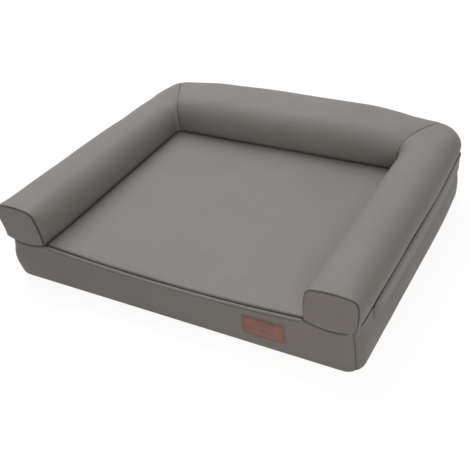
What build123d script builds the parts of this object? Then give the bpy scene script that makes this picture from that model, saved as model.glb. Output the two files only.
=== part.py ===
from build123d import *
from math import atan2, cos, pi, sin, sqrt
import os

# Overall size of the bed
bed_width = 710.0
bed_depth = 563.0
bed_height = 168.0

# Widths of the bolsters at their feet, and the height of the seat as a share of the whole
side_bolster = 97.0
back_bolster = 123.0
seat_share = 0.571
nook_width = bed_width - 2 * side_bolster
nook_depth = bed_depth - back_bolster
seat_height = bed_height * seat_share

# Cloth, foam fit and small running gaps
cloth = 1.2
fit_gap = 0.4
edge_gap = 0.3
lay_gap = 0.05

# Plan of the base cover
base_overhang = 9.0
front_set_back = 4.0
back_bow = 8.0
base_corner = 30.0
base_half = bed_width / 2 - base_overhang
base_front = -bed_depth / 2 + front_set_back
base_back = bed_depth / 2 - back_bow - base_overhang

# Zip, measured out from the upright part of the base side
zip_drop = 12.0
zip_height = seat_height - zip_drop
tape_thick = 0.7
tape_split = 1.2
tape_lap = 3.5
coil_split = 0.8
coil_width = 2.2
coil_thick = 1.6
stop_length = 3.0
stop_proud = 0.3
stop_set_back = 78.0
tape_lead = 9.0
zip_to_boxing = 8.0
boxing_under_zip = zip_height - zip_to_boxing
stop_y = base_front + stop_set_back
zip_start = stop_y - tape_lead

# Upright section of the base cover
hem_radius = 12.0
side_crown = 2.5
crown_set_down = 4.0
crown_top = boxing_under_zip - crown_set_down
crown_middle = (hem_radius + crown_top) / 2
crown_half = (crown_top - hem_radius) / 2
crown_radius = (crown_half**2 + side_crown**2) / (2 * side_crown)
boxing_top = seat_height - edge_gap
slab_share = 0.6
slab_top = seat_height * slab_share
fill_reach = base_corner - 1.0
fill_overlap = 1.0

# Plan of the bolsters, measured out from an upright line just inside the nook corner
pivot_in = 16.0
pivot_x = nook_width / 2 - pivot_in
pivot_y = -bed_depth / 2 + nook_depth - pivot_in
foot_set_back = 2.0
foot_half = base_half - foot_set_back
foot_back = base_back - foot_set_back
foot_corner = 44.0
bulge_half = bed_width / 2
bulge_back = bed_depth / 2 - back_bow
bulge_corner = 62.0
top_set_back = 3.0
top_half = bulge_half - top_set_back
top_back = bulge_back - top_set_back
top_corner = 60.0

# Section of the bolsters
back_rise = 3.0
bolster_rise = bed_height - back_rise - seat_height
shoulder_drop = bolster_rise / 10
inner_round = bolster_rise * 0.45
outer_round = bolster_rise * 0.38
round_at_end = 0.55
bulge_height = seat_height + bolster_rise / 2
seam_drop = 3.0
seam_draw = 3.0
inner_bulge = 4.5
inner_lean = 9.0
belly = 9.0

# The corner seam runs from the pivot to a place on the back, in from the outer corner
seam_in = 45.0
mitre = atan2(bulge_back - pivot_y, bulge_half - seam_in - pivot_x)

# How full a bolster is at distances behind its end cap, and over each share of its turn to the corner seam
front_stations = [(0, 0.0), (12.0, 0.6), (36.0, 0.93), (76.0, 1.0)]
turn_stations = [(0, 1), (0.2, 0.96), (0.4, 0.88), (0.6, 0.76), (0.8, 0.56), (1, 0.2)]
past_share = 1 / 12

# Share of the extra fullness that the back bolster has over each share of its half length
back_stations = [(-1, 0), (-0.5, 0.75), (0, 1), (0.5, 0.75), (1, 0)]

# End caps
cap_crown = 3.6
rim_share = 0.6
cap_soft = 1.6
cap_rim = 9.0

# Front edge of the seat, and the rise of the sleeping panel over each share of the nook's depth
welt_radius = 2.6
welt_dip = 11.0
welt_set_down = 1.0
welt_end = seat_height - welt_set_down - welt_radius
seat_stations = [(0.12, -6.0), (0.35, 1.0), (0.65, 3.0), (1.0, -0.8)]

# Zip slider and pull tab
slider_set_back = 12.0
slider_y = stop_y + slider_set_back
slider_length = 10.0
slider_half = 5.5
slider_plate = 0.9
neck_half = 0.5
neck_length = 2.6
bail_reach = 4.2
bail_post = 1.0
bail_half = 1.5
bail_rise = 2.8
bail_thick = 0.8
rod_radius = 0.6
tab_length = 34.0
tab_half = 3.3
tab_eye = 5.4
tab_arm = 1.2
tab_corner = 1.5

# Zip flap
flap_out = 8.5
flap_shoulder = 3.7
flap_cover = 14.5
roll_rise = 4.5
roll_crown = 2.2
roll_in = 3.2
roll_fall = 1.0
flap_draw = 0.5
flap_set_down = 0.5
flap_low = zip_height - flap_cover
flap_top = seat_height - flap_set_down
flap_lap = 14.0
tab_swing_room = 8.0
flap_start_right = stop_y - flap_lap
flap_start_left = slider_y + tab_length + tab_swing_room

# Label patch
patch_share = 0.72
patch_x = patch_share * nook_width / 2
patch_width = 77.0
patch_height = 37.0
patch_middle_share = 0.525
patch_mid = seat_height * patch_middle_share
patch_thick = 1.4

# Egg-crate channels of the comfort foam
channel_radius = 9.0
channel_bite = 6.0
channels_across = 10
channels_along = 11


def rounded_plan(grow, low_y=base_front, high_y=base_back, half=base_half, corner=base_corner):
    """The outline of the base in plan, grown outwards."""
    height = high_y - low_y + 2 * grow
    return Pos(0, (high_y + low_y) / 2) * RectangleRounded(2 * (half + grow), height, corner + grow)


def upright(shape, low, high):
    return Pos(0, 0, low) * extrude(shape, amount=high - low)


def block(low_x, high_x, low_y, high_y, low_z, high_z):
    size = (high_x - low_x, high_y - low_y, high_z - low_z)
    middle = ((high_x + low_x) / 2, (high_y + low_y) / 2, (high_z + low_z) / 2)
    return Pos(*middle) * Box(*size)


def mirrored(shape):
    return mirror(shape, about=Plane.YZ)


def crown_at(z, grow):
    """How far the side of the base cover stands out at a height."""
    return side_crown - crown_radius + sqrt((crown_radius + grow) ** 2 - (z - crown_middle) ** 2)


def hem_and_side(inset, high):
    """The outer line of the base section, inset, from under the hem up to a height."""
    radius = hem_radius - inset
    rim = radius * sin(pi / 4)
    return [
        ThreePointArc(
            (-hem_radius, inset), (rim - hem_radius, hem_radius - rim), (-inset, hem_radius)
        ),
        ThreePointArc((-inset, hem_radius), (side_crown - inset, crown_middle), (-inset, crown_top)),
        Line((-inset, crown_top), (-inset, high)),
    ]


def skin_profile(high):
    """The thin upright section of the base cover."""
    inner = -hem_radius, cloth
    lines = hem_and_side(0, high) + hem_and_side(cloth, high)
    lines += [Line((-hem_radius, 0), inner), Line((0, high), (-cloth, high))]
    return Pos(base_half, 0, 0) * Plane.XZ * make_face(lines)


def fill_profile(inset, high):
    """The section of what fills the base cover, reaching in from its side."""
    lines = hem_and_side(inset, high)
    lines += [
        Line((-hem_radius, inset), (-fill_reach, inset)),
        Line((-fill_reach, inset), (-fill_reach, high)),
        Line((-fill_reach, high), (-inset, high)),
    ]
    return Pos(base_half, 0, 0) * Plane.XZ * make_face(lines)


def base_path():
    """The closed plan path of the upright base side, starting on the right."""
    turn = base_corner * (1 - sin(pi / 4))
    x, low, high = base_half, base_front, base_back
    r = base_corner
    return Wire(
        [
            Line((x, 0), (x, high - r)),
            ThreePointArc((x, high - r), (x - turn, high - turn), (x - r, high)),
            Line((x - r, high), (r - x, high)),
            ThreePointArc((r - x, high), (turn - x, high - turn), (-x, high - r)),
            Line((-x, high - r), (-x, low + r)),
            ThreePointArc((-x, low + r), (turn - x, low + turn), (r - x, low)),
            Line((r - x, low), (x - r, low)),
            ThreePointArc((x - r, low), (x - turn, low + turn), (x, low + r)),
            Line((x, low + r), (x, 0)),
        ]
    )


def wedge(points):
    """A tall prism over a plan outline, for splitting the cover at its corners."""
    return upright(make_face(Polyline(*points, close=True)), -bed_height, 2 * bed_height)


def reach_to(angle, half, back, corner):
    """Plan distance from the pivot to a rounded outline; angle 0 looks outwards, 90 degrees looks back."""
    middle_x, middle_y = half - corner - pivot_x, back - corner - pivot_y
    along, up = abs(cos(angle)), sin(angle)
    if along > 0 and (half - pivot_x) * up / along < middle_y:
        return (half - pivot_x) / along
    if up > 0 and (back - pivot_y) * along / up < middle_x:
        return (back - pivot_y) / up
    on = middle_x * along + middle_y * up
    off = middle_x * up - middle_y * along
    return on + sqrt(corner**2 - off**2)


def bolster_section(x, y, angle, puff, inset, sag=0, extra=0):
    """The section of a right-hand bolster over a plan point, looking along an angle."""
    draw, bow = seam_draw * (1 - puff), back_bow * extra
    foot = reach_to(angle, foot_half, foot_back, foot_corner) - inset
    bulge = reach_to(angle, bulge_half, bulge_back, bulge_corner) - inset - draw + bow
    shoulder = reach_to(angle, top_half, top_back, top_corner) - inset - draw / 2 + bow
    low = seat_height + inset
    top = seat_height + bolster_rise - seam_drop * (1 - puff) - inset + back_rise * extra
    inner_foot = pivot_in + inset
    inner_side = pivot_in - inner_bulge * puff + inset
    inner_top = pivot_in + inner_lean + inset
    edge = top - shoulder_drop
    lines = [
        ThreePointArc((foot, low), (bulge, bulge_height), (shoulder, edge)),
        ThreePointArc((shoulder, edge), ((shoulder + inner_top) / 2, top), (inner_top, edge)),
        ThreePointArc((inner_top, edge), (inner_side, bulge_height), (inner_foot, low)),
    ]
    if sag:
        lines.append(ThreePointArc((inner_foot, low), ((inner_foot + foot) / 2, low - sag), (foot, low)))
    else:
        lines.append(Line((inner_foot, low), (foot, low)))
    face = make_face(lines)
    rounding = round_at_end + (1 - round_at_end) * puff
    for radius, which in ((inner_round, 0), (outer_round, -1)):
        high = face.vertices().filter_by(lambda v: v.Y > bulge_height).sort_by(Axis.X)
        face = fillet(high[which], radius * rounding - inset)
    out = Vector(cos(angle), sin(angle), 0)
    return Plane(origin=(x, y, 0), x_dir=out, z_dir=out.cross(Vector(0, 0, 1))) * face


def turn_to_seam(start, inset, past):
    """The rounded end of a right-hand bolster, from square to the corner seam."""
    turn = [(start + (mitre - start) * share, puff) for share, puff in turn_stations]
    if past:
        angle, puff = turn[-1]
        turn.append((angle + (mitre - start) * past_share, puff))
    return loft([bolster_section(pivot_x, pivot_y, angle, puff, inset) for angle, puff in turn], ruled=True)


def side_bolster(inset, past=0):
    """The right bolster, from its end cap to the corner seam."""
    front = loft([bolster_section(pivot_x, base_front + y, 0, puff, inset) for y, puff in front_stations])
    full_y = base_front + front_stations[-1][0]
    middle = extrude(bolster_section(pivot_x, full_y, 0, 1, inset), amount=full_y - pivot_y)
    made = front + middle + turn_to_seam(0, inset, past)
    if past:
        made += extrude(bolster_section(pivot_x, base_front, 0, 0, inset), amount=past)
    return made


def back_bolster(inset, past=0):
    """The back bolster, from its left corner seam to its right one."""
    square = pi / 2
    end = turn_to_seam(square, inset, past)
    middle = loft(
        [
            bolster_section(pivot_x * share, pivot_y, square, 1, inset, 0, extra)
            for share, extra in back_stations
        ]
    )
    return middle + end + mirrored(end)


# Base cover, swept round in one and split at its corner seams
ring = sweep(skin_profile(boxing_top), path=base_path())
seam_x, seam_front, seam_back = base_half - base_corner, base_front + base_corner, base_back - base_corner
far = bed_depth / 2
front_wedge = wedge(
    [(-seam_x - far, seam_front - far), (seam_x + far, seam_front - far), (0, seam_front + seam_x)]
)
back_wedge = wedge(
    [(-seam_x - far, seam_back + far), (seam_x + far, seam_back + far), (0, seam_back - seam_x)]
)
near = base_corner / 2
right_wedge = wedge(
    [
        (seam_x + far, seam_front - far),
        (seam_x - near, seam_front + near),
        (seam_x - near, seam_back - near),
        (seam_x + far, seam_back + far),
    ]
)

nodes = {}

# Bolsters: cloth sleeves over filling, met at the corner seams
right_form, back_form = side_bolster(0), back_bolster(0)
right_sleeve = right_form - side_bolster(cloth, hem_radius)
right_core = side_bolster(cloth + fit_gap, hem_radius) & right_form
nodes["back_sleeve"] = back_form - back_bolster(cloth, hem_radius)
nodes["back_bolster_core"] = back_bolster(cloth + fit_gap, hem_radius) & back_form

# End caps: domed, with a belly that presses into the front boxing
right_cap = loft(
    [
        bolster_section(pivot_x, base_front, 0, 0, 0, belly),
        bolster_section(pivot_x, base_front - cap_crown * rim_share, 0, 0, cap_soft, belly),
        bolster_section(pivot_x, base_front - cap_crown, 0, 0, cap_rim, belly - cap_rim / 2),
    ],
    ruled=True,
)
for name, shape in (("sleeve", right_sleeve), ("bolster_core", right_core), ("end_cap", right_cap)):
    nodes["right_" + name] = shape
    nodes["left_" + name] = mirrored(shape)

# Front boxing: its top edge follows the welt and the bellies of the end caps
cap_in = nook_width / 2
cap_out = pivot_x + reach_to(0, foot_half, foot_back, foot_corner)
cap_middle = (cap_in + cap_out) / 2
welt_under = welt_end - welt_radius - edge_gap
above = [
    Line((-cap_in, boxing_top), (-cap_in, welt_under)),
    ThreePointArc((-cap_in, welt_under), (0, welt_under - welt_dip), (cap_in, welt_under)),
    Line((cap_in, welt_under), (cap_in, boxing_top)),
    ThreePointArc((cap_in, boxing_top), (cap_middle, boxing_top - belly), (cap_out, boxing_top)),
    Line((cap_out, boxing_top), (cap_out, bed_height)),
    Line((cap_out, bed_height), (-cap_out, bed_height)),
    Line((-cap_out, bed_height), (-cap_out, boxing_top)),
    ThreePointArc((-cap_out, boxing_top), (-cap_middle, boxing_top - belly), (-cap_in, boxing_top)),
]
notch = Pos(0, seam_front, 0) * extrude(Plane.XZ * make_face(above), amount=base_corner + far)
nodes["front_boxing"] = (ring & front_wedge) - notch

# Side and back boxing: lower where the zip runs
zip_cut = block(-bed_width, bed_width, zip_start, bed_depth, boxing_under_zip, bed_height)
nodes["right_boxing"] = (ring & right_wedge) - zip_cut
nodes["left_boxing"] = mirrored(nodes["right_boxing"])
nodes["back_boxing"] = (ring & back_wedge) - zip_cut
nodes["bottom_panel"] = upright(rounded_plan(-hem_radius - lay_gap), 0, cloth)

# Welt along the front edge of the seat
welt_line = ThreePointArc(
    (-cap_in + edge_gap, 0, welt_end), (0, 0, welt_end - welt_dip), (cap_in - edge_gap, 0, welt_end)
)
welt_start = Plane(origin=welt_line @ 0, z_dir=welt_line % 0)
nodes["front_piping"] = Pos(0, base_front, 0) * sweep(welt_start * Circle(welt_radius), path=welt_line)


def seat_section(y, rise, low, drop):
    """An upright slice across the nook, with an arched top."""
    half, edge = cap_in, seat_height - drop
    lines = [
        Line((-half, low), (half, low)),
        Line((half, low), (half, edge)),
        ThreePointArc((half, edge), (0, edge + rise), (-half, edge)),
        Line((-half, edge), (-half, low)),
    ]
    return Plane.XZ.offset(-y) * make_face(lines)


def seat_sheet_section(y, rise):
    """An upright slice of the sleeping panel."""
    half, edge = cap_in - edge_gap, seat_height
    lines = [
        ThreePointArc((-half, edge - cloth), (0, edge + rise - cloth), (half, edge - cloth)),
        Line((half, edge - cloth), (half, edge)),
        ThreePointArc((half, edge), (0, edge + rise), (-half, edge)),
        Line((-half, edge), (-half, edge - cloth)),
    ]
    return Plane.XZ.offset(-y) * make_face(lines)


# Sleeping panel: crowned, and dipping to the front edge
nook_back = pivot_y + pivot_in
seat_front = base_front + welt_radius + edge_gap
seat_y = [seat_front] + [seat_front + (nook_back - seat_front) * share for share, _ in seat_stations]
rises = [-welt_dip] + [rise for _, rise in seat_stations]
nodes["sleeping_panel"] = loft([seat_sheet_section(y, rise) for y, rise in zip(seat_y, rises)])

# Lining under the bolsters
lining_grow = -cloth - fit_gap
lining_low = seat_height - cloth
lining_plan = rounded_plan(lining_grow)
nook_hole = Pos(0, (nook_back - bed_depth) / 2) * Rectangle(nook_width, nook_back + bed_depth)
nodes["bolster_floor"] = upright(lining_plan - nook_hole, lining_low, seat_height)

# Foam: a plain slab, and an egg-crate layer shaped to the seat
foam_inset = cloth + fit_gap
foam_top = lining_low - fit_gap
foam_body = sweep(fill_profile(foam_inset, foam_top), path=base_path())
foam_body += upright(rounded_plan(fill_overlap - fill_reach), foam_inset, foam_top)
split = block(-bed_width, bed_width, -bed_depth, bed_depth, slab_top, bed_height)
nodes["support_foam"] = foam_body - split
topper = foam_body & split
seat_cut = block(-cap_in, cap_in, -bed_depth, nook_back, slab_top, bed_height)
topper_seat = loft([seat_section(y, rise, slab_top, foam_inset) for y, rise in zip(seat_y, rises)])
channel_z = foam_top - channel_bite + channel_radius
channels = []
for i in range(channels_along):
    share = (i + 0.5) / channels_along - 0.5
    channel = Rot(90, 0, 0) * Cylinder(channel_radius, bed_depth)
    channels.append(Pos(2 * base_half * share, 0, channel_z) * channel)
for i in range(channels_across):
    share = (i + 0.5) / channels_across
    y = base_front + (base_back - base_front) * share
    channels.append(Pos(0, y, channel_z) * Rot(0, 90, 0) * Cylinder(channel_radius, bed_width))
nodes["comfort_foam"] = (topper - seat_cut + topper_seat) - channels


def side_strip(inner, outer, low, high, start_left, start_right):
    """A strip round the two sides and the back, measured out from the base side."""
    band = upright(rounded_plan(outer) - rounded_plan(inner), low, high)
    front = block(-bed_width, 0, -bed_depth, start_left, 0, bed_height)
    front += block(0, bed_width, -bed_depth, start_right, 0, bed_height)
    return band - front


# Zip: tapes laid on the base side, with the coils on their facing edges
tape_out = lay_gap + tape_thick
coil_out = tape_out + coil_thick
lower_edge, upper_edge = zip_height - coil_split, zip_height + coil_split
tape_low, tape_high = boxing_under_zip - tape_lap, boxing_top
tape_ends = zip_start + lay_gap, zip_start + lay_gap
nodes["lower_tape"] = side_strip(lay_gap, tape_out, tape_low, zip_height - tape_split, *tape_ends)
nodes["upper_tape"] = side_strip(lay_gap, tape_out, zip_height + tape_split, tape_high, *tape_ends)
coil_ends = stop_y, stop_y
nodes["lower_coil"] = side_strip(tape_out, coil_out, lower_edge - coil_width, lower_edge, *coil_ends)
nodes["upper_coil"] = side_strip(tape_out, coil_out, upper_edge, upper_edge + coil_width, *coil_ends)
stop_out = coil_out + stop_proud
stop_left = -base_half - stop_out, -base_half - tape_out, stop_y - stop_length, stop_y
nodes["lower_top_stop"] = block(*stop_left, lower_edge - coil_width, lower_edge)
nodes["upper_top_stop"] = block(*stop_left, upper_edge, upper_edge + coil_width)
nodes["bottom_stop"] = block(
    base_half + tape_out,
    base_half + stop_out,
    stop_y - stop_length,
    stop_y,
    lower_edge - coil_width,
    upper_edge + coil_width,
)

# Zip flap: sewn on above the zip and hanging clear of the slider
flap_in = flap_out - cloth
flap_turn = flap_in - flap_shoulder
lip_low = flap_top - cloth
flap_foot = tape_out + lay_gap
roll_middle = (roll_in + flap_out) / 2
roll_inner = flap_top + roll_rise
roll_outer = roll_inner - roll_fall
rim = flap_shoulder * (1 - sin(pi / 4))
flap_lines = [
    Line((flap_foot, lip_low), (flap_foot, flap_top)),
    Line((flap_foot, flap_top), (roll_in, roll_inner)),
    ThreePointArc((roll_in, roll_inner), (roll_middle, roll_inner + roll_crown), (flap_out, roll_outer)),
    Line((flap_out, roll_outer), (flap_out - flap_draw, flap_low)),
    Line((flap_out - flap_draw, flap_low), (flap_in - flap_draw, flap_low)),
    Line((flap_in - flap_draw, flap_low), (flap_in, lip_low - flap_shoulder)),
    ThreePointArc((flap_in, lip_low - flap_shoulder), (flap_in - rim, lip_low - rim), (flap_turn, lip_low)),
    Line((flap_turn, lip_low), (flap_foot, lip_low)),
]
flap_ring = sweep(Pos(base_half, 0, 0) * Plane.XZ * make_face(flap_lines), path=base_path())
flap_front = block(-bed_width, 0, -bed_depth, flap_start_left, 0, bed_height)
flap_front += block(0, bed_width, -bed_depth, flap_start_right, 0, bed_height)
nodes["zip_flap"] = flap_ring - flap_front

# Label patch on the crowned front
patch_in, patch_out = crown_radius + lay_gap, crown_radius + patch_thick
patch_centre = side_crown - crown_radius


def patch_point(radius, z):
    return patch_centre + sqrt(radius**2 - (z - crown_middle) ** 2), z


patch_low, patch_high = patch_mid - patch_height / 2, patch_mid + patch_height / 2
patch_lines = []
for radius in (patch_in, patch_out):
    stations = [patch_point(radius, z) for z in (patch_low, patch_mid, patch_high)]
    patch_lines.append(ThreePointArc(*stations))
patch_lines.append(Line(patch_point(patch_in, patch_low), patch_point(patch_out, patch_low)))
patch_lines.append(Line(patch_point(patch_in, patch_high), patch_point(patch_out, patch_high)))
patch_plane = Plane(origin=(patch_x + patch_width / 2, base_front, 0), x_dir=(0, -1, 0), z_dir=(-1, 0, 0))
nodes["label_patch"] = extrude(patch_plane * make_face(patch_lines), amount=patch_width)


# Slider and pull tab, drawn on the left side with the first number measured out from the base
def on_zip(out_low, out_high, along_low, along_high, up_low, up_high):
    left, right = -base_half - out_high, -base_half - out_low
    low, high = slider_y + along_low, slider_y + along_high
    return block(left, right, low, high, zip_height + up_low, zip_height + up_high)


half_long = slider_length / 2
under_high = lay_gap - edge_gap
under_low = under_high - slider_plate
over_low = coil_out + edge_gap
over_high = over_low + slider_plate
wall_low = tape_out + edge_gap
coil_side = coil_split + coil_width + edge_gap
slider = on_zip(under_low, under_high, -half_long, half_long, -slider_half, slider_half)
slider += on_zip(over_low, over_high, -half_long, half_long, -slider_half, slider_half)
slider += on_zip(wall_low, over_low, -half_long, half_long, coil_side, slider_half)
slider += on_zip(wall_low, over_low, -half_long, half_long, -slider_half, -coil_side)
slider += on_zip(under_high, over_low, half_long - neck_length, half_long, -neck_half, neck_half)
bail_top = over_high + bail_rise
slider += on_zip(over_high, bail_top, bail_reach - bail_post, bail_reach, -bail_half, bail_half)
slider += on_zip(over_high, bail_top, -bail_reach, bail_post - bail_reach, -bail_half, bail_half)
slider += on_zip(bail_top - bail_thick, bail_top, -bail_reach, bail_reach, -bail_half, bail_half)
slider = fillet(slider.edges().filter_by(Axis.X).group_by(Axis.Y)[0], neck_half)
nodes["zip_slider"] = slider

rod_out = over_high + edge_gap + rod_radius
rod_centre = (-base_half - rod_out, slider_y, zip_height)
tab_high = rod_out + rod_radius
tab_low = rod_out - rod_radius
tab = Pos(*rod_centre) * Cylinder(rod_radius, 2 * tab_half)
for side_low, side_high in ((tab_half - tab_arm, tab_half), (-tab_half, tab_arm - tab_half)):
    tab += on_zip(tab_low, tab_high, -tab_eye, 0, side_low, side_high)
tab_plate = on_zip(tab_low, tab_high, -tab_length, -tab_eye, -tab_half, tab_half)
tab_plate = fillet(tab_plate.edges().filter_by(Axis.X).group_by(Axis.Y)[0], tab_corner)
nodes["pull_tab"] = tab + tab_plate

os.makedirs("parts", exist_ok=True)
for name, shape in nodes.items():
    export_step(shape, "parts/" + name + ".step")
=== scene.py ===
from cmath import phase, rect
from math import atan2, cos, dist, exp, hypot, pi, sin, sqrt

import bpy
from mathutils import Matrix, Vector, noise


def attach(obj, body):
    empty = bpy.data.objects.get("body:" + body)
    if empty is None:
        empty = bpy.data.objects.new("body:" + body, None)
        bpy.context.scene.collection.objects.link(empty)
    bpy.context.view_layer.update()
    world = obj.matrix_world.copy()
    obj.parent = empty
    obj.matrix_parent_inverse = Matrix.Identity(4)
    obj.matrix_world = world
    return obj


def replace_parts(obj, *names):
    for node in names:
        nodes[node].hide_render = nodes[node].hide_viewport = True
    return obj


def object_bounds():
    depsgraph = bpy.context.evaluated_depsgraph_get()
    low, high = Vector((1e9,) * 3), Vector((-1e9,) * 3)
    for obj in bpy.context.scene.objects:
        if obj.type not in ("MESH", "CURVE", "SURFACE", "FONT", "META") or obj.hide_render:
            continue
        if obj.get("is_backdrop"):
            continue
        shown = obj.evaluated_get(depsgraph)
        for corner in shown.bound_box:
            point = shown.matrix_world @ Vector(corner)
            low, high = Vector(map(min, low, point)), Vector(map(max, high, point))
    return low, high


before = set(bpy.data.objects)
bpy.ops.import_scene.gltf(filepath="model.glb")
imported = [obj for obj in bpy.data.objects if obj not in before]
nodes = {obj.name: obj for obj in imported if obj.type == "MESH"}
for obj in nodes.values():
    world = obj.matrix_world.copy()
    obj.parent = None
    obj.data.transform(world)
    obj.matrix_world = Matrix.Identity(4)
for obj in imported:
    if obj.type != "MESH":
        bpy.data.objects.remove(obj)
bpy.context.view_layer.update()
scene = bpy.context.scene

# Slab of support foam.
# A plain block of dense polyurethane foam that fills the lower part of the base cover. It is cut from
# a bun with a hot wire, so its faces are flat and its long edges a little soft. Sizes are in millimetres.
base_half, base_front, base_back, base_corner = 346.0, -277.5, 264.5, 30.0
seam_x, seam_front, seam_back = base_half - base_corner, base_front + base_corner, base_back - base_corner
slab_top, foam_inset = 57.56, 2.4
row_bunching = 0.3
drawn_x, drawn_y, drawn_by, drawn_width, drawn_below, drawn_fade = 340.0, 258.0, 6.0, 90, 130, 34
pushed_x, pushed_y, pushed_by, pushed_below, pushed_fade = -346.0, -277.0, 8.0, 112, 20
foot_by, foot_height, pushed_wide, pushed_deep = 9.0, 92, 70, 30


def linear(code):
    """Turns an sRGB hex colour to linear."""
    parts = [int(code[i : i + 2], 16) / 255 for i in (1, 3, 5)]
    return [c / 12.92 if c <= 0.04045 else ((c + 0.055) / 1.055) ** 2.4 for c in parts] + [1.0]


def add_node(tree, kind, links=(), ramp=(), **settings):
    """Adds a shader node with its settings; links are (input, node, output), a ramp is (position, colour) marks."""
    made = tree.nodes.new("ShaderNode" + kind)
    for name, value in settings.items():
        if name.startswith("in_"):
            made.inputs[name[3:].replace("_", " ")].default_value = value
        else:
            setattr(made, name, value)
    for i, (position, code) in enumerate(ramp):
        made.color_ramp.elements[i].position, made.color_ramp.elements[i].color = position, linear(code)
    for socket, source, out in links:
        tree.links.new(source.outputs[out], made.inputs[socket])
    return made


def clean_tree(owner):
    """The emptied node tree of a new material or world."""
    owner.use_nodes = True
    owner.node_tree.nodes.clear()
    return owner.node_tree


def new_material(name):
    """A material with only the place on the object, for its patterns to read."""
    made = bpy.data.materials.new(name)
    tree = clean_tree(made)
    return made, tree, [("Vector", add_node(tree, "TexCoord"), "Object")]


def end_material(tree, links, **settings):
    """Joins what a material has made so far to its surface and output."""
    shader = add_node(tree, "BsdfPrincipled", links, **settings)
    add_node(tree, "OutputMaterial", [("Surface", shader, "BSDF")])


def patterned(name, kind, colours, grain=None, roughness=0.5, metallic=0.0, **settings):
    """A material whose one pattern mixes two colours; grain is the (strength, metres) of its relief."""
    made, tree, at = new_material(name)
    pattern = add_node(tree, "Tex" + kind, at, **settings)
    out = "Distance" if kind == "Voronoi" else "Fac"
    tint = add_node(tree, "ValToRGB", [("Fac", pattern, out)], ramp=zip((0, 1), colours))
    links = [("Base Color", tint, "Color")]
    if grain:
        bump = add_node(tree, "Bump", [("Height", pattern, out)], in_Strength=grain[0], in_Distance=grain[1])
        links.append(("Normal", bump, "Normal"))
    end_material(tree, links, in_Roughness=roughness, in_Metallic=metallic)
    return made


def spread(first, last, steps):
    """Evenly spaced values from first to last, both included."""
    return [first + (last - first) * i / steps for i in range(steps + 1)]


def line_points(a, b, steps):
    """Evenly spaced plan points from a to b, both included."""
    return list(zip(spread(a[0], b[0], steps), spread(a[1], b[1], steps)))


def clamped(share):
    """A share kept between nought and one."""
    return min(1.0, max(0.0, share))


def stuffed(x, y, z):
    """The stuffed base isn't square: its back right corner is drawn in and its front left foot stands out."""
    near = drawn_by * clamped((drawn_below - z) / drawn_fade)
    near *= exp(-((x - drawn_x) ** 2 + (y - drawn_y) ** 2) / drawn_width**2)
    away = pushed_by * clamped((pushed_below - z) / pushed_fade) + foot_by * clamped(1 - z / foot_height)
    away *= exp(-(((x - pushed_x) / pushed_wide) ** 2) - ((y - pushed_y) / pushed_deep) ** 2)
    return x - near - away, y - near, z


def take_up(piece, gap, flat=0.0, outwards=True):
    """Puts a piece in the scene, merges points within a gap and flat faces, and turns its faces outwards."""
    scene.collection.objects.link(piece)
    bpy.ops.object.select_all(action="DESELECT")
    piece.select_set(True)
    bpy.context.view_layer.objects.active = piece
    bpy.ops.object.mode_set(mode="EDIT")
    bpy.ops.mesh.select_all(action="SELECT")
    bpy.ops.mesh.remove_doubles(threshold=gap)
    if flat:
        bpy.ops.mesh.dissolve_limited(angle_limit=flat)
    if outwards:
        bpy.ops.mesh.normals_make_consistent(inside=False)
    bpy.ops.object.mode_set(mode="OBJECT")


def cloth_mesh(name, points, faces, material, slot, wall=0.0, seams=None):
    """A soft piece from points in millimetres, with outward faces and its material; slot is not used."""
    mesh = bpy.data.meshes.new(name)
    mesh.from_pydata([tuple(v / 1000 for v in stuffed(*p)) for p in points], [], faces)
    # The seam values are painted shade, kept on the points for the cloth material
    if seams:
        depth = mesh.attributes.new("seam", "FLOAT", "POINT")
        depth.data.foreach_set("value", seams)
    mesh.validate()
    piece = bpy.data.objects.new(name, mesh)
    take_up(piece, gap=0.00002, outwards=not wall)
    bpy.ops.object.shade_smooth()
    if wall:
        thick = piece.modifiers.new("wall", "SOLIDIFY")
        thick.thickness, thick.offset, thick.use_even_offset = wall / 1000, -1, True
        bpy.ops.object.modifier_apply(modifier=thick.name)
    mesh.materials.append(material)
    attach(piece, "bed")
    return piece


def grid_faces(rows, columns, first=0, loop=False):
    """Quads between rows of points; loop joins the last column to the first."""
    faces = []
    for i in range(rows - 1):
        here, after = first + i * columns, first + (i + 1) * columns
        for j in range(columns if loop else columns - 1):
            k = (j + 1) % columns
            faces.append((here + j, here + k, after + k, after + j))
    return faces


def rim_faces(above, below):
    """Quads between two closed lines of point numbers, one above the other."""
    return [(a, d, c, b) for a, b, c, d in zip(above, above[1:] + above[:1], below[1:] + below[:1], below)]


def row_half(y, inset):
    """Half the width of the rounded base plan at a depth."""
    corner = base_corner - inset
    over = max(0.0, seam_front - y, y - seam_back)
    return seam_x + sqrt(max(0.0, corner**2 - over**2))


def foam_layer(step, inset, high_at):
    """A grid over the base plan, closer together at front and back: its points, rows and columns."""
    front, back = base_front + inset, base_back - inset
    deep = back - front
    rows, columns = int(deep / step) + 1, int(2 * base_half / step) + 1
    points = []
    for share in spread(0, 1, rows - 1):
        y = front + deep * (0.5 - 0.5 * cos(pi * share)) * row_bunching + deep * share * (1 - row_bunching)
        half = row_half(y, inset)
        points += [(x, y, high_at(x, y)) for x in [half * (2 * j / (columns - 1) - 1) for j in range(columns)]]
    return points, rows, columns


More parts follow.
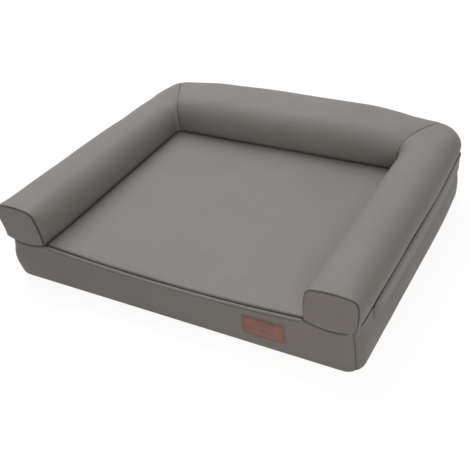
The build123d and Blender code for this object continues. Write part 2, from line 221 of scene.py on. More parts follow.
def foam_block(name, edge, high_at, step, material, slot):
    """A foam layer with a flat underside and a shaped top; edge is the (inset, z) line down its side."""
    points, rows, columns = foam_layer(step, foam_inset, high_at)
    faces = grid_faces(rows, columns)
    grid = [list(range(i * columns, (i + 1) * columns)) for i in range(rows)]
    rim = grid[0] + [row[-1] for row in grid[1:]] + grid[-1][-2::-1] + [row[0] for row in grid[-2:0:-1]]
    above = rim
    for inset, z in edge:
        start, layer = len(points), foam_layer(step, inset, lambda x, y: z)[0]
        if (inset, z) == edge[-1]:
            points, below = points + layer, [start + k for k in rim]
            faces += [face[::-1] for face in grid_faces(rows, columns, start)]
        else:
            points += [layer[k] for k in rim]
            below = list(range(start, len(points)))
        faces += rim_faces(above, below)
        above = below
    piece = cloth_mesh(name, points, faces, material, slot)
    return piece


# Open-cell polyurethane foam, cut by hot wire: cells of about 1 mm give a chalky, matt face without gloss
slab_foam = patterned(
    "slab_polyurethane_foam", "Voronoi", ("#cfc9b4", "#e6e1d0"), (0.5, 0.0006), roughness=0.95, in_Scale=700.0
)
hem_line = [(foam_inset, 9.0), (3.8, 6.0), (5.6, 4.0), (8.4, foam_inset)]
slab = foam_block("slab", hem_line, lambda x, y: slab_top - 0.2, 24.0, slab_foam, "slab_foam")
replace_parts(slab, "support_foam")

# Comfort layer of egg-crate foam.
# A softer memory-type foam sheet, cut with rows of bumps so that it gives under the dog. It lies on the
# slab, bumps upwards, and the sleeping panel is stretched over it.
seat_height = 95.93
nook_half, nook_back = 258.0, 158.5
welt_dip, welt_room = 11.0, 2.9
seat_front = base_front + welt_room
seat_rise = [(0.0, -welt_dip), (0.12, -6.0), (0.35, 1.0), (0.65, 3.0), (1.0, -0.8)]
panel_room = 3.2
bump_pitch, bump_depth = 40.0, 9.0


def smooth_between(stations, at):
    """A smooth value through stations, level at both ends."""
    if at <= stations[0][0]:
        return stations[0][1]
    for i, ((a, low), (b, high)) in enumerate(zip(stations, stations[1:])):
        if at <= b:
            before, after = stations[max(0, i - 1)], stations[min(len(stations) - 1, i + 2)]
            m0 = (high - before[1]) / (b - before[0])
            m1 = (after[1] - low) / (after[0] - a)
            t, span = (at - a) / (b - a), b - a
            return (
                low * (2 * t**3 - 3 * t**2 + 1)
                + m0 * span * (t**3 - 2 * t**2 + t)
                + high * (3 * t**2 - 2 * t**3)
                + m1 * span * (t**3 - t**2)
            )
    return stations[-1][1]


def seat_at(x, y):
    """Height of the sleeping panel's top at a point of the nook."""
    rise = smooth_between(seat_rise, (y - seat_front) / (nook_back - seat_front))
    return seat_height + rise * (1 - min(1.0, abs(x) / nook_half) ** 2)


def crate_at(x, y):
    """Height of the egg-crate top, under the seat or under the bolsters."""
    in_nook = abs(x) < nook_half and y < nook_back
    high = (min(seat_at(x, y), seat_height) if in_nook else seat_height) - panel_room
    wave = 0.5 + 0.5 * cos(2 * pi * x / bump_pitch) * cos(2 * pi * y / bump_pitch)
    return high - bump_depth * wave


# Memory foam, convoluted between rollers: finer cells of 0.9 mm, softly matt and a little blue
crate_foam = patterned(
    "egg_crate_memory_foam", "Voronoi", ("#a9bfc4", "#c8d6d8"), (0.4, 0.0004), roughness=0.92, in_Scale=1100.0
)
crate = foam_block("egg_crate", [(foam_inset, slab_top + 0.2)], crate_at, 6.0, crate_foam, "egg_crate_foam")
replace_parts(crate, "comfort_foam")

# Base cover: front, side and back boxing and the bottom panel.
# Strips of smooth coated cloth, sewn to each other at the four corners and rolled under at the hem to
# meet the bottom panel. The foam pushes them out a little between hem and top.
cloth = 1.2
hem_radius = 12.0
side_crown, crown_top = 2.5, 71.93
crown_middle, crown_half = (hem_radius + crown_top) / 2, (crown_top - hem_radius) / 2
crown_radius = (crown_half**2 + side_crown**2) / (2 * side_crown)
boxing_top, boxing_under_zip = 95.63, 75.93
zip_start = -208.5
corner_pull, corner_pull_width = 1.5, 3.0
edge_shade, shade_under_caps = 1.5, 3.1
sides = ("right", "back", "left", "front")
seam_turn = pi / 4 - 0.04
foot_half = 344.0
cap_middle = (nook_half + foot_half) / 2
belly, belly_tuck = 9.0, 2.4
welt_end, welt_end_run, welt_end_lift = 92.33, 9.0, 5.0
swell_size, swell_width, swell_fade, swell_top = 1.3, 75.0, 30, 100
fuller_by, fuller_z, fuller_x_run, fuller_y_run, fuller_z_run = 3.0, 52, 60, 90, 30


def coated_cloth(name, low, high, roughness):
    """Coated cloth with a pebble 1.9 mm wide, drawn coarse enough to show, slow patches, and painted shade in its
    seams and creases.
    """
    made, tree, at = new_material(name)
    broad = add_node(tree, "TexNoise", at, in_Scale=9.0, in_Detail=3.0, in_Roughness=0.55)
    tint = add_node(tree, "ValToRGB", [("Fac", broad, "Fac")], ramp=[(0.3, low), (0.7, high)])
    # Painted shade: the seam attribute darkens the colour towards #7b7673 in seams, creases and under the bolsters and
    # caps
    seam = add_node(tree, "Attribute", attribute_name="seam")
    mix = [("Fac", seam, "Fac"), ("Color1", tint, "Color")]
    dark = add_node(tree, "MixRGB", mix, blend_type="MULTIPLY", in_Color2=linear("#7b7673"))
    pebble = add_node(tree, "TexVoronoi", at, in_Scale=520.0)
    grain = add_node(tree, "Bump", [("Height", pebble, "Distance")], in_Strength=0.5, in_Distance=0.0003)
    soft = add_node(tree, "TexNoise", at, in_Scale=60.0, in_Detail=4.0, in_Roughness=0.6)
    over = [("Height", soft, "Fac"), ("Normal", grain, "Normal")]
    uneven = add_node(tree, "Bump", over, in_Strength=0.3, in_Distance=0.0006)
    gloss, dull = roughness - 0.06, roughness + 0.06
    sheen = add_node(tree, "MapRange", [("Value", soft, "Fac")], in_To_Min=gloss, in_To_Max=dull)
    links = [("Base Color", dark, "Color"), ("Roughness", sheen, "Result"), ("Normal", uneven, "Normal")]
    end_material(tree, links, in_Specular_IOR_Level=0.35)
    return made


# Cover cloth: polyester coated with polyurethane and embossed, so that it looks like smooth hide, half matt
cover_cloth = coated_cloth("coated_cover_cloth", "#888583", "#8e8b89", 0.58)
# Panel cloth: the same stuff, a shade less brown and a little glossier where it is stretched flat
panel_cloth = coated_cloth("coated_panel_cloth", "#878684", "#8c8b89", 0.56)
# Lining: the same stuff without its gloss coat, darker and dull; it is seen only with the bolsters off
lining_cloth = coated_cloth("plain_lining_cloth", "#6d6b67", "#767470", 0.85)

# Bottom cloth: a matt weave printed with rubber dots 3 mm across, 6 mm apart, so that it grips the floor.
# Its threads are drawn 1 mm apart, coarser than they are, so that they show.
grip_cloth, tree, at = new_material("dotted_bottom_cloth")
dots = add_node(tree, "TexVoronoi", at, in_Scale=166.0, in_Randomness=0.0, voronoi_dimensions="2D")
dot_edge = {"in_From_Min": 0.2, "in_From_Max": 0.27, "in_To_Min": 1.0, "in_To_Max": 0.0}
dot = add_node(tree, "MapRange", [("Value", dots, "Distance")], **dot_edge)
tint = add_node(tree, "ValToRGB", [("Fac", dot, "Result")], ramp=[(0, "#56534f"), (1, "#38363a")])
threads = add_node(tree, "TexNoise", at, in_Scale=900.0, in_Detail=2.0)
proud = add_node(tree, "Math", [(0, threads, "Fac"), (1, dot, "Result")], operation="ADD")
raised = add_node(tree, "Bump", [("Height", proud, "Value")], in_Strength=0.6, in_Distance=0.0003)
end_material(tree, [("Base Color", tint, "Color"), ("Normal", raised, "Normal")], in_Roughness=0.8)


def corner_arc(x, y, turns):
    """Points and outward directions round part of a base corner."""
    return [(x + base_corner * cos(turn), y + base_corner * sin(turn), cos(turn), sin(turn)) for turn in turns]


def side_path(side, step=6.0):
    """The plan line of one side of the base, from corner seam to corner seam."""
    at = sides.index(side)
    turn = at * pi / 2
    centres = [(seam_x, seam_front), (seam_x, seam_back), (-seam_x, seam_back), (-seam_x, seam_front)]
    first = corner_arc(*centres[at], [turn - pi / 4] + spread(turn - seam_turn, turn, 5))
    last = corner_arc(*centres[(at + 1) % 4], spread(turn, turn + seam_turn, 5) + [turn + pi / 4])
    count = max(2, round(dist(first[-1][:2], last[0][:2]) / step))
    straight = [(x, y, *first[-1][2:]) for x, y in line_points(first[-1], last[0], count)[1:-1]]
    return first + straight + last


def crown_out(z):
    """How far the foam pushes the upright cloth out at a height."""
    return side_crown - crown_radius + sqrt(crown_radius**2 - (z - crown_middle) ** 2)


def wall_row(high):
    """The upright section of the base cover, from under the hem up to a height, as (out, z)."""
    made = [(-hem_radius + hem_radius * cos(t), hem_radius + hem_radius * sin(t)) for t in spread(-pi / 2, 0.0, 6)]
    heights = spread(hem_radius, crown_top, 14)[1:]
    heights += [crown_top + (high - 3.0 - crown_top) * share for share in (0.33, 0.67, 1.0)] + [high - 0.9, high]
    return made + [(crown_out(z) if z < crown_top else 0.0, z) for z in heights]


def uneven_cloth(x, y, z, size, width):
    """A slow, repeatable unevenness of stuffed cloth, in millimetres."""
    return size * noise.noise(Vector((x / width, y / width, z / width)))


def wall_swell(x, y, z):
    """How far the stuffed wall stands out, most of all near the front left corner."""
    fade = min(1.0, z / swell_fade) * clamped((swell_top - z) / swell_fade)
    off = ((x - pushed_x) / fuller_x_run, (y - pushed_y) / fuller_y_run, (z - fuller_z) / fuller_z_run)
    left = exp(-(off[0] ** 2) - off[1] ** 2 - off[2] ** 2)
    return uneven_cloth(x, y, z, swell_size, swell_width) * fade + fuller_by * left


def boxing(name, side, high_at, steps=()):
    """One strip of the base cover, drawn in at its corner seams; steps are where its top edge steps."""
    path = side_path(side)
    go_x, go_y = path[-1][0] - path[0][0], path[-1][1] - path[0][1]
    path = sorted(path + list(steps), key=lambda p: p[0] * go_x + p[1] * go_y)
    points, seams = [], []
    along = [0.0]
    for a, b in zip(path, path[1:]):
        along.append(along[-1] + dist(a[:2], b[:2]))
    for at, (x, y, out_x, out_y) in zip(along, path):
        to_seam = min(at, along[-1] - at)
        draw = corner_pull * exp(-to_seam / corner_pull_width)
        # Painted shade: a dark band along the top edge, deeper under the end caps, and a dark line at each corner seam
        dark = shade_under_caps if side == "front" and nook_half < abs(x) < foot_half else edge_shade
        for out, z in wall_row(high_at(x, y)):
            swell = wall_swell(x, y, z) - draw
            points.append((x + out_x * (out + swell), y + out_y * (out + swell), z))
            seams.append(max(0.7 * exp(-(to_seam**2)), 1.0 if z > high_at(x, y) - dark else 0.0))
    faces = [face[::-1] for face in grid_faces(len(path), len(points) // len(path))]
    piece = cloth_mesh(name, points, faces, cover_cloth, "cover_cloth", wall=cloth, seams=seams)
    tallest = max(high_at(x, y) for x, y, _, _ in path)
    return piece


def front_edge(x, y):
    """Top edge of the front boxing: dipping along the welt and under the bellies of the end caps."""
    if abs(x) < nook_half:
        share = clamped((abs(x) - nook_half + welt_end_run) / welt_end_run)
        dip = welt_dip * (1 - (x / nook_half) ** 2)
        return welt_end - welt_room - dip + welt_end_lift * share**2 * (3 - 2 * share)
    if abs(x) < foot_half:
        share = (abs(x) - cap_middle) / (foot_half - cap_middle)
        return min(boxing_top + 0.9, boxing_top - belly * (1 - share**2) + belly_tuck)
    return boxing_top


def side_edge(x, y):
    """Top edge of a side boxing: full height in front, and cut down where the zip runs."""
    return boxing_top if y < zip_start else boxing_under_zip


foot_steps = [nook_half + shift for shift in (-9, -7, -5, -3.5, -2, -0.1, 0.1)]
foot_steps = [(sign * x, base_front, 0.0, -1.0) for sign in (-1, 1) for x in foot_steps]
right_steps, left_steps = ([(s * base_half, zip_start + gap, s, 0.0) for gap in (-0.1, 0.1)] for s in (1.0, -1.0))
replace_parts(boxing("front_wall", "front", front_edge, foot_steps), "front_boxing")
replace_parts(boxing("right_wall", "right", side_edge, right_steps), "right_boxing")
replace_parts(boxing("left_wall", "left", side_edge, left_steps), "left_boxing")
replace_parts(boxing("back_wall", "back", lambda x, y: boxing_under_zip), "back_boxing")


def plan_sheet(name, inset, inset_at_zip, at, face_up, material, slot, hole=None):
    """A flat sheet over the rounded base plan, if asked with a hole for the nook."""
    front, back = base_front + inset, base_back - inset_at_zip
    half = base_half - inset
    lines, quarter = spread(-nook_half, nook_half, 28), spread(0, pi / 2, 8)
    rows = [seam_front - (base_corner - inset) * cos(turn) for turn in quarter[:-1]]
    rows += spread(seam_front, nook_back, 36)[:-1] + spread(nook_back, seam_back, 8)[:-1]
    rows += [seam_back + (base_corner - inset_at_zip) * sin(turn) for turn in quarter]
    points, keep = [], []
    for y in rows:
        edge = row_half(y, inset if y < zip_start else inset_at_zip)
        wide = spread(nook_half, edge, 5)[1:]
        points += [(x, y, at(x, y)) for x in [-v for v in reversed(wide)] + lines + wide]
    for face in grid_faces(len(rows), len(points) // len(rows)):
        x = sum(points[k][0] for k in face) / 4
        y = sum(points[k][1] for k in face) / 4
        if not hole or abs(x) > nook_half or y > nook_back:
            keep.append(face if face_up else face[::-1])
    used = sorted({k for face in keep for k in face})
    place = {k: i for i, k in enumerate(used)}
    faces = [tuple(place[k] for k in face) for face in keep]
    piece = cloth_mesh(name, [points[k] for k in used], faces, material, slot, wall=cloth)
    area = 2 * half * (back - front) - (4 - pi) * (base_corner - inset) ** 2
    if hole:
        area -= 2 * nook_half * (nook_back - front)
    return piece


under_inset = hem_radius + 0.2
under_at, lining_at = lambda x, y: 0.3 + uneven_cloth(x, y, 0.0, 0.3, 60.0), lambda x, y: seat_height - 0.1
under = plan_sheet("bottom_sheet", under_inset, under_inset, under_at, False, grip_cloth, "grip_cloth")
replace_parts(under, "bottom_panel")
lining = plan_sheet("bolster_lining", cloth + 0.1, 0.15, lining_at, True, lining_cloth, "lining_cloth", hole=True)
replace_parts(lining, "bolster_floor")

# Bolsters: a stuffed sleeve on each side and one across the back.
# Each is a sleeve of the coated cloth over loose polyester filling, sewn to the base cover along both
# feet. The three meet in corner seams, where the cloth is drawn in and puckers.
pivot_x, pivot_y, pivot_in = 242.0, 142.5, 16.0
foot_back, foot_corner = 262.5, 30.0
bulge_half, bulge_back, bulge_corner = 355.0, 273.5, 62.0
top_half, top_back, top_corner = 352.0, 270.5, 60.0
bolster_rise = 69.07
end_drop, shoulder_drop = 4.5, 9.0
inner_round, outer_round, round_at_end = bolster_rise * 0.6, bolster_rise * 0.5, 0.36
end_lean = 2.5
bulge_height = seat_height + bolster_rise / 2
seam_drop, seam_draw, inner_bulge, inner_lean = 1.5, 3.0, 4.5, 9.0
back_bow, back_rise = 8.0, 3.0
mitre = atan2(bulge_back - pivot_y, bulge_half - 45.0 - pivot_x)
# Width of the painted seam shade, and its strength at the corner seams
seam_width, corner_dark = 1.2, 0.65
ring_step, seam_run, far_off = 7, 75, 300.0
filling_size, filling_width = 1.6, 80.0
fold_size, fold_width, fold_run = 1.1, 5.3, 11
seam_sink, seam_sink_width = 1.6, 2.6
front_sink, front_sink_width, stitch_row, stitch_dent = 1.5, 0.9, 6.5, 0.3
# Fullness along the side from its front seam, round the corner to the mitre, and across the back
front_puff = [(0, 0.0), (12.0, 0.6), (36.0, 0.93), (76.0, 1.0)]
turn_puff = [(0, 1), (0.2, 0.98), (0.4, 0.95), (0.6, 0.9), (0.8, 0.8), (1, 0.6)]
end_extra = 0.35
back_extra = [(-1, end_extra), (-0.5, 0.85), (0, 1), (0.5, 0.85), (1, end_extra)]
# How far the top has risen or sunk along each half: below 0 is the side, 0 to 100 the corner, beyond it the back
settled_left = [(-420, 4.4), (-322, 3.4), (-240, 1.2), (-158, -0.6), (-76, -4.6), (0, -6.2), (45, -8.2), (70, -1.0)]
settled_left += [(100, 2.5), (160, 4.0), (342, 3.4)]
settled_right = [(-420, 0.0), (-200, 0.0), (-60, -1.5), (0, -3.0), (45, -4.2), (70, -4.2), (100, -1.4), (130, 1.0)]
settled_right += [(200, 3.4), (342, 3.4)]
# Sections close up towards the front seam, as distances, and towards the mitre, as shares of the turn
front_steps, front_end = [0, 0.5, 1, 1.6, 2.4, 3.4, 4.5, 5.6, 6.5, 7.5, 9, 12, 16, 22, 29], 35
turn_steps = [0.06, 0.12, 0.2, 0.28, 0.36, 0.44, 0.52, 0.6, 0.68, 0.75, 0.81, 0.86, 0.9, 0.93, 0.955, 0.975, 0.99, 1.0]


def reach_to(turn, half, back, corner):
    """Plan distance from the pivot to a rounded outline; 0 looks outwards, a right angle looks back."""
    middle_x, middle_y = half - corner - pivot_x, back - corner - pivot_y
    along, up = abs(cos(turn)), sin(turn)
    if along > 1e-6 and (half - pivot_x) * up / along < middle_y:
        return (half - pivot_x) / along
    if up > 1e-6 and (back - pivot_y) * along / up < middle_x:
        return (back - pivot_y) / up
    on = middle_x * along + middle_y * up
    off = middle_x * up - middle_y * along
    return on + sqrt(corner**2 - off**2)


def circle_through(a, b, c):
    """Centre and radius of the circle through three points, which are complex numbers here and below."""
    w = (c - a) / (b - a)
    centre = a - (a - b) * (w - abs(w) ** 2) / 2j / w.imag
    return centre, abs(a - centre)


def round_between(one, two, radius, near):
    """The rounding inside two crossing circles, on the side of a near point: its centre and where it leaves each."""
    (m1, r1), (m2, r2) = one, two
    a, b, gap = r1 - radius, r2 - radius, abs(m2 - m1)
    along = (a * a - b * b + gap * gap) / (2 * gap)
    off = sqrt(max(0.0, a * a - along * along))
    both = [m1 + complex(along, side * off) * (m2 - m1) / gap for side in (-1, 1)]
    centre = min(both, key=lambda p: abs(p - near))
    return centre, *[m + (centre - m) * r / abs(centre - m) for m, r in (one, two)]


def arc_points(centre, a, b, steps):
    """Points on the shorter arc from a to b, without b."""
    sweep = phase((b - centre) / (a - centre))
    return [centre + (a - centre) * rect(1, turn) for turn in spread(0, sweep, steps)[:-1]]


def bolster_section(turn, puff, extra=0.0, sag=0.0, shrink=0.0):
    """The upright outline of a bolster as (reach, z), from its inner foot over the top and back underneath."""
    draw, bow = seam_draw * (1 - puff), back_bow * extra
    foot = complex(reach_to(turn, foot_half, foot_back, foot_corner), seat_height)
    bulge = complex(reach_to(turn, bulge_half, bulge_back, bulge_corner) - draw + bow, bulge_height)
    top = seat_height + bolster_rise - seam_drop * (1 - puff) + back_rise * extra
    edge = top - end_drop - (shoulder_drop - end_drop) * puff
    shoulder = complex(reach_to(turn, top_half, top_back, top_corner) - draw / 2 + bow, edge)
    inner_foot, inner_top = complex(pivot_in, seat_height), complex(pivot_in + inner_lean, edge)
    inner_side = complex(pivot_in + end_lean * (1 - puff) - inner_bulge * puff, bulge_height)
    outer = circle_through(foot, bulge, shoulder)
    crown = circle_through(shoulder, complex((shoulder.real + inner_top.real) / 2, top), inner_top)
    inner = circle_through(inner_top, inner_side, inner_foot)
    rounding = round_at_end + (1 - round_at_end) * puff
    c1, inner_leave, crown_in = round_between(inner, crown, inner_round * rounding, inner_top + (20 - 20j))
    c2, crown_end, outer_leave = round_between(crown, outer, outer_round * rounding, shoulder - (20 + 20j))
    points = arc_points(inner[0], inner_foot, inner_leave, 10) + arc_points(c1, inner_leave, crown_in, 8)
    points += arc_points(crown[0], crown_in, crown_end, 12) + arc_points(c2, crown_end, outer_leave, 8)
    points += arc_points(outer[0], outer_leave, foot, 10)
    if sag:
        under = circle_through(foot, (foot + inner_foot) / 2 - sag * 1j, inner_foot)
        points += arc_points(under[0], foot, inner_foot, 16)
    else:
        points += spread(foot, inner_foot, 16)[:-1]
    middle = sum(points) / len(points)
    points = [p + (middle - p) * shrink / abs(middle - p) for p in points]
    return [(p.real, p.imag) for p in points]


def place_ring(x, y, turn, section, flip=1):
    """A section set upright over a plan point, looking along an angle."""
    return [(flip * (x + r * cos(turn)), y + r * sin(turn), z) for r, z in section]


def pucker(to_seam, around, seed):
    """Short folds that run out from a corner seam, in millimetres."""
    wave = sin(2 * pi * around / fold_width + 3 * noise.noise(Vector((around / 4, seed, 0))))
    size = 0.5 + 0.5 * noise.noise(Vector((around / 9, seed + 7.0, 0)))
    return fold_size * size * wave * exp(-to_seam / fold_run) * (1 - exp(-to_seam / 3))


def settled(x, y, z):
    """Where a point lies once the filling has settled, fuller mid back and flatter at the back corners."""
    off_x, off_y = abs(x) - pivot_x, y - pivot_y
    over_x, over_y = max(0.0, off_x), max(0.0, off_y)
    reach, turn = hypot(over_x, over_y), atan2(over_y, over_x)
    run = 100 * turn / (pi / 2) + min(0.0, off_y) - min(0.0, off_x)
    amount = smooth_between(settled_left if x < 0 else settled_right, run)
    amount *= clamped((z - seat_height) / bolster_rise)
    out = amount * clamped((reach - pivot_in) / 50) * (1 + 0.6 * clamped(run / 100)) / reach
    return x + (over_x if x > 0 else -over_x) * out, y + over_y * out, z + amount


def soft_ring(ring, to_front, to_seam, seed):
    """A ring with its seams drawn in, its puckers and the unevenness of its filling."""
    centre = [sum(p[k] for p in ring) / len(ring) for k in range(3)]
    made = []
    for j, at in enumerate(ring):
        x, y, z = at
        lift = clamped((z - seat_height) / 12)
        move = uneven_cloth(x, y, z, filling_size, filling_width) * lift
        if to_seam is not None:
            sink = seam_sink * exp(-to_seam / seam_sink_width)
            move += (pucker(to_seam, j, seed) - sink) * (0.2 + 0.8 * lift)
        if to_front is not None:
            move -= front_sink * exp(-to_front / front_sink_width)
            move -= stitch_dent * exp(-(((to_front - stitch_row) / 2.0) ** 2))
        span = dist(at, centre) or 1.0
        x, y, z = (v + (v - c) / span * move for v, c in zip(at, centre))
        made.append(settled(x, y, max(seat_height, z)))
    return made


def tube(rings):
    """Points and faces of rings joined to one closed skin, with both ends filled."""
    points = [p for ring in rings for p in ring]
    count = len(rings[0])
    faces = grid_faces(len(rings), count, loop=True)
    return points, faces + [tuple(range(count))[::-1], tuple(range(len(points) - count, len(points)))]


def stuffed_piece(name, rings, near):
    """Rings of a bolster or cap joined to one closed cushion; near is how much painted seam shade each ring takes."""
    seams = [share for share, ring in zip(near, rings) for _ in ring]
    piece = cloth_mesh(name, *tube(rings), cover_cloth, "cover_cloth", seams=seams)
    return piece


def corner_rings(first, extra=0.0, flip=1):
    """Rings from a turn round to the mitre, each with its distance to the corner seam."""
    made = []
    for share in turn_steps:
        turn = first + (mitre - first) * share
        section = bolster_section(turn, smooth_between(turn_puff, share), extra * (1 - share))
        made.append((place_ring(pivot_x, pivot_y, turn, section, flip), (1 - share) * abs(mitre - first) * seam_run))
    return made


def side_rows(flip):
    """The rings of a side bolster, from its end cap to its corner seam."""
    full = pivot_y - base_front
    rows = []
    for d in front_steps + spread(front_end, full, round((full - front_end) / ring_step)):
        section = bolster_section(0.0, smooth_between(front_puff, d))
        ring = place_ring(pivot_x, base_front + d, 0.0, section, flip)
        rows.append((ring, d, None if d < full - 60 else far_off, 1.0 + flip))
    return rows + [(ring, None, to_seam, 1.0 + flip) for ring, to_seam in corner_rings(0.0, flip=flip)]


def back_rows():
    """The rings of the back bolster, from its left corner seam to its right one."""
    square = pi / 2
    right = corner_rings(square, end_extra)
    rows = [([(-x, y, z) for x, y, z in ring], None, to_seam, 0.0) for ring, to_seam in reversed(right)]
    for x in spread(-pivot_x, pivot_x, round(2 * pivot_x / ring_step)):
        section = bolster_section(square, 1, smooth_between(back_extra, x / pivot_x))
        rows.append((place_ring(x, pivot_y, square, section), None, far_off, 0.0))
    return rows + [(ring, None, to_seam, 2.0) for ring, to_seam in right]


def bolster(name, rows):
    """A bolster from its rings, each with its distances to the front and the corner seam and a seed."""
    # Painted shade along the front seam, and weaker at the corner seams
    near = []
    for _, to_front, to_seam, _ in rows:
        dark, off = (corner_dark, to_seam) if to_front is None else (1.0, to_front)
        near.append(dark * exp(-((off / seam_width) ** 2)))
    return stuffed_piece(name, [soft_ring(*row) for row in rows], near)


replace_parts(bolster("right_bolster", side_rows(1)), "right_sleeve", "right_bolster_core")
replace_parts(bolster("left_bolster", side_rows(-1)), "left_sleeve", "left_bolster_core")
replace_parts(bolster("back_bolster", back_rows()), "back_sleeve", "back_bolster_core")

# End caps of the side bolsters.
# A panel of the same cloth, sewn into the open end of the sleeve. The filling domes it and its lower
# edge hangs over the front boxing in a belly.
# Each step of the dome is (in from the edge, forward of the base, painted shade at the seam).
cap_dome = [(2.2, 0.9, 1.0), (1.6, 0.0, 1.0), (1.4, -0.5, 1.0), (1.9, -1.2, 0.7), (2.8, -1.8, 0.1), (4.4, -2.3, 0.0)]
cap_dome += [(8.0, -2.8, 0.0), (14.0, -3.3, 0.0), (22.0, -3.6, 0.0)]


def end_cap(name, flip):
    """A domed panel within the seam of the sleeve's end."""
    rings = []
    for shrink, forward, _ in cap_dome:
        section = bolster_section(0.0, 0.0, sag=belly, shrink=shrink)
        rings.append([settled(flip * (pivot_x + r), base_front + forward, z) for r, z in section])
    return stuffed_piece(name, rings, [near for _, _, near in cap_dome])


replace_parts(end_cap("right_cap_panel", 1), "right_end_cap")
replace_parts(end_cap("left_cap_panel", -1), "left_end_cap")

# Sleeping panel and the welt along its front edge.
# One smooth panel of the coated cloth stretched over the foam, sewn in along the three bolsters. At the
# front it dips over the foam's edge and a cloth-covered welt cord closes the seam.
panel_rows, panel_columns = 76, 88
panel_half = nook_half - 0.3
edge_draw, edge_run, front_draw, front_run = 0.8, 3.0, 1.8, 6.0
welt_radius, welt_steps, welt_sides = 2.6, 160, 14


def panel_points():
    """The panel's top, with its edges drawn down into the seams, and each point's painted shade, darkest along the
    welt.
    """
    points, near = [], []
    for y in spread(seat_front, nook_back, panel_rows):
        for x in spread(-panel_half, panel_half, panel_columns):
            edge, front = min(nook_half - abs(x), nook_back - y), y - seat_front
            drawn = edge_draw * exp(-edge / edge_run) + front_draw * exp(-front / front_run)
            points.append((x, y, seat_at(x, y) + uneven_cloth(x, y, 0.0, 0.8, 110.0) - drawn))
            near.append(max(0.3 * exp(-((edge / edge_run) ** 2)), exp(-((front / 1.5) ** 2))))
    return points, near


points, near = panel_points()
faces = grid_faces(panel_rows + 1, panel_columns + 1)
panel = cloth_mesh("seat_panel", points, faces, panel_cloth, "cover_cloth", wall=cloth, seams=near)
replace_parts(panel, "sleeping_panel")


def welt_rings():
    """A welt cord along the dipping edge, a little uneven, and pinched where it is sewn in at its ends."""
    rings = []
    for x in spread(-panel_half, panel_half, welt_steps):
        z = welt_end - welt_dip * (1 - (x / nook_half) ** 2)
        sewn_in = max(0.0, (abs(x) - nook_half + welt_end_run) / welt_end_run) ** 2
        radius = (welt_radius + 0.12 * noise.noise(Vector((x / 9, 5.0, 0)))) * (1 - 0.7 * sewn_in)
        y = base_front + 1.8 * sewn_in
        rings.append([(x, y + radius * cos(t), z + radius * sin(t)) for t in spread(0, 2 * pi, welt_sides)[:-1]])
    return rings


welt = cloth_mesh("front_welt", *tube(welt_rings()), cover_cloth, "cover_cloth")
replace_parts(welt, "front_piping")

# Zip: woven tapes, nylon coils, stops, slider and pull tab.
# A coil zip runs round both sides and the back under the bolsters, so that the cover comes off the
# foam. The slider is pressed zinc, painted to match, with a flat pull tab.
zip_height, tape_thick, tape_split, tape_lap = 83.93, 0.7, 1.2, 3.5
coil_split, coil_width, coil_thick, coil_pitch = 0.8, 2.2, 1.6, 1.5
stop_y = -199.5
lay, tape_round, tape_ripple = 0.05, 0.2, 0.04

# Zip tape: woven polyester, dull, with ribs 1 mm apart, drawn coarser than they are so that they show
ribs = {"in_Scale": 300.0, "in_Distortion": 0.6, "bands_direction": "Z"}
zip_cloth = patterned("woven_zip_tape", "Wave", ("#46433f", "#57544f"), (0.5, 0.0002), roughness=0.85, **ribs)
# Zip coil: extruded nylon monofilament, dark and smooth, so that each turn catches a small light
coil_nylon = patterned("nylon_zip_coil", "Noise", ("#2f2d2b", "#3d3b38"), roughness=0.4, in_Scale=200.0)
# Zinc, die cast or pressed and then painted: half glossy, with slightly worn patches about 3 mm across
worn = {"in_Scale": 350.0, "in_Detail": 3.0}
zip_zinc = patterned("painted_zinc", "Noise", ("#4b4845", "#5d5a56"), roughness=0.35, metallic=0.4, **worn)


def run_round(start_right, start_left, step=6.0):
    """The plan line of a strip, from the right side round the back to the left side."""
    right = [p for p in side_path("right", step) if p[1] > start_right]
    left = [p for p in side_path("left", step) if p[1] > start_left]
    first = (base_half, start_right, 1.0, 0.0)
    last = (-base_half, start_left, -1.0, 0.0)
    return [first] + right + side_path("back", step)[1:] + left[1:] + [last]


def strip_mesh(name, path, section_at, material, slot):
    """A strip with a closed section of (out, z, painted shade) points, carried along a plan line."""
    rings, near = [], []
    for k, (x, y, out_x, out_y) in enumerate(path):
        section = section_at(k, x, y, out_x)
        rings.append([(x + out_x * out, y + out_y * out, z) for out, z, _ in section])
        near += [share for _, _, share in section]
    return cloth_mesh(name, *tube(rings), material, slot, seams=near)


def tape_section(low, high):
    """A woven tape, a little rounded along both edges and rippling by a hair."""
    out, middle, soft = lay + tape_thick, (low + high) / 2, tape_round
    ring = [(lay, low + soft), (lay + soft, low), (out - soft, low), (out, low + soft), (out, middle)]
    ring += [(out, high - soft), (out - soft, high), (lay + soft, high), (lay, high - soft), (lay, middle)]
    return lambda k, x, y, out_x: [(o + tape_ripple * sin(k * 1.3), z, 0.0) for o, z in ring]


def coil_section(low):
    """A nylon coil: its turns swell and narrow at every other point of the line."""
    half_out, half_up = coil_thick / 2, coil_width / 2
    middle = lay + tape_thick + half_out

    def section(k, x, y, out_x):
        size = (1.0, 0.6)[k % 2]
        high = half_up * (0.7 + 0.3 * size)
        turns = spread(0, 2 * pi, 6)[:-1]
        return [(middle + half_out * size * cos(t), low + half_up + high * sin(t), 0.0) for t in turns]

    return section


